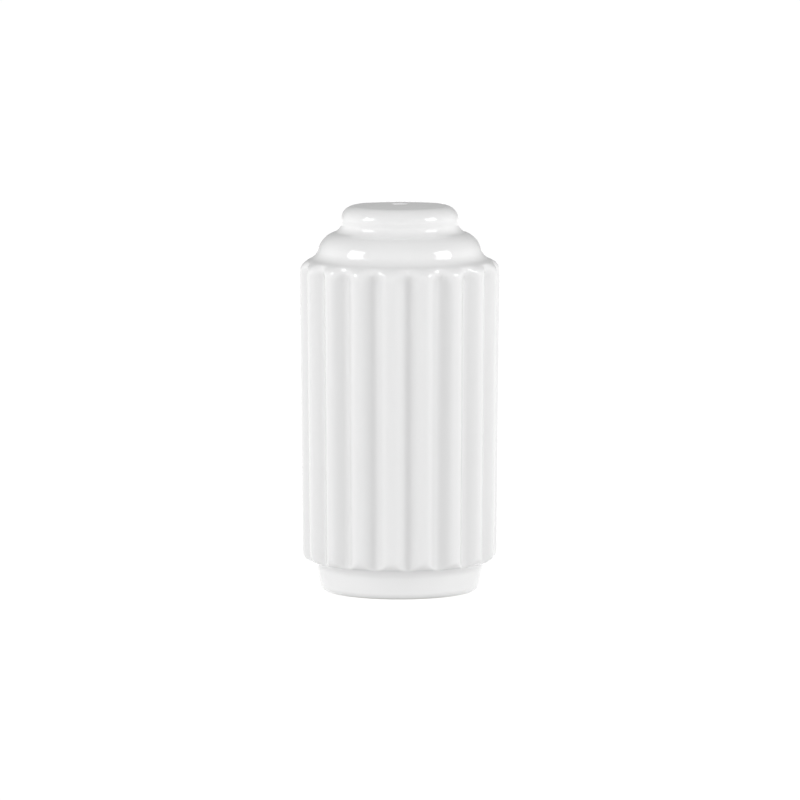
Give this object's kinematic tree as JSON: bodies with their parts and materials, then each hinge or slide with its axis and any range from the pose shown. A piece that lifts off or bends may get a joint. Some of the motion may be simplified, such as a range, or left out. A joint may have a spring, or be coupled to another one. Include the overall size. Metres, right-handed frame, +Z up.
{
  "type": "salt shaker",
  "caption": "White glazed porcelain salt shaker with a ribbed cylindrical wall, a stepped top with a pour hole, and a soft stopper that pulls out of the fill hole underneath.",
  "frame": {"origin": "middle of the foot, on the table", "axes": "+Z up along the shaker's axis; the picture's view looks along +Y, with a rib facing -Y"},
  "size_m": [0.042, 0.0424, 0.082],
  "materials": {
    "porcelain": "white high-gloss glaze, bare on the ring of the foot",
    "silicone": "satin milky white silicone"
  },
  "bodies": {
    "body": {"shaker_body": "porcelain"},
    "stopper": {"stopper": "silicone"}
  },
  "joints": [
    {"name": "stopper_pull", "type": "slide", "parent": "body", "child": "stopper", "axis": [0, 0, -1], "range_m": [0, 0.03]}
  ]
}
